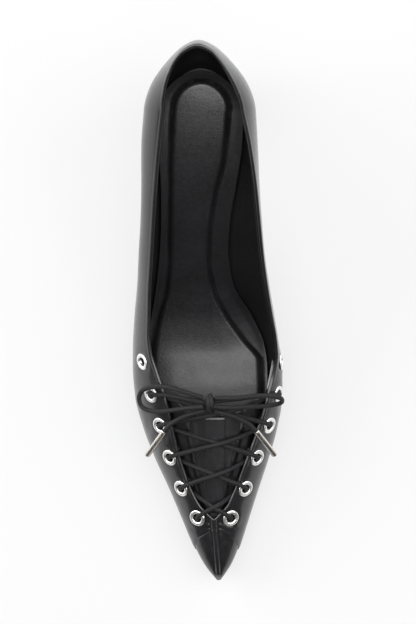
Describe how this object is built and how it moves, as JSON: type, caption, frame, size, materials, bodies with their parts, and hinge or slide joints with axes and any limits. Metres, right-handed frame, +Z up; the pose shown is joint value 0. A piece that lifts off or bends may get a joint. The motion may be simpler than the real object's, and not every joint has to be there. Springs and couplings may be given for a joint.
{
  "type": "lace up heel",
  "caption": "Right-foot pointed pump in smooth black leather with a lace-up throat, a cord bow with metal tips and a slim covered heel.",
  "frame": {"origin": "centre of the shoe's box, on the floor that it stands on, measured without the bow", "axes": "+Y from toe to heel, +X to the medial side of this right shoe, +Z up"},
  "size_m": [0.074, 0.257, 0.1182],
  "materials": {
    "upper_leather": "smooth black leather with a soft gloss and fine creases",
    "tongue_leather": "smooth black leather with a higher gloss",
    "sock_leather": "black lining leather, satin, with a fine grain",
    "sole": "black moulded sole sheet, satin, faintly textured",
    "heel_leather": "smooth black leather stretched over the heel",
    "top_piece": "black rubber top piece, matt",
    "lace": "black waxed round cord, finely braided",
    "eyelet_metal": "polished silver metal",
    "aglet_metal": "silver metal tube, lightly worn"
  },
  "bodies": {
    "root": {"upper": "upper_leather", "tongue": "tongue_leather", "insole": "sock_leather", "outsole": "sole", "heel": "heel_leather", "heel_tip": "top_piece", "lace_crossings": "lace", "lace_knot": "lace", "lace_loop_lateral": "lace", "lace_loop_medial": "lace", "lace_end_lateral": "lace", "lace_end_medial": "lace", "aglet_lateral": "aglet_metal", "aglet_medial": "aglet_metal", "eyelet_lateral_1": "eyelet_metal", "eyelet_lateral_2": "eyelet_metal", "eyelet_lateral_3": "eyelet_metal", "eyelet_lateral_4": "eyelet_metal", "eyelet_lateral_5": "eyelet_metal", "eyelet_lateral_6": "eyelet_metal", "eyelet_medial_1": "eyelet_metal", "eyelet_medial_2": "eyelet_metal", "eyelet_medial_3": "eyelet_metal", "eyelet_medial_4": "eyelet_metal", "eyelet_medial_5": "eyelet_metal", "eyelet_medial_6": "eyelet_metal"}
  },
  "joints": []
}
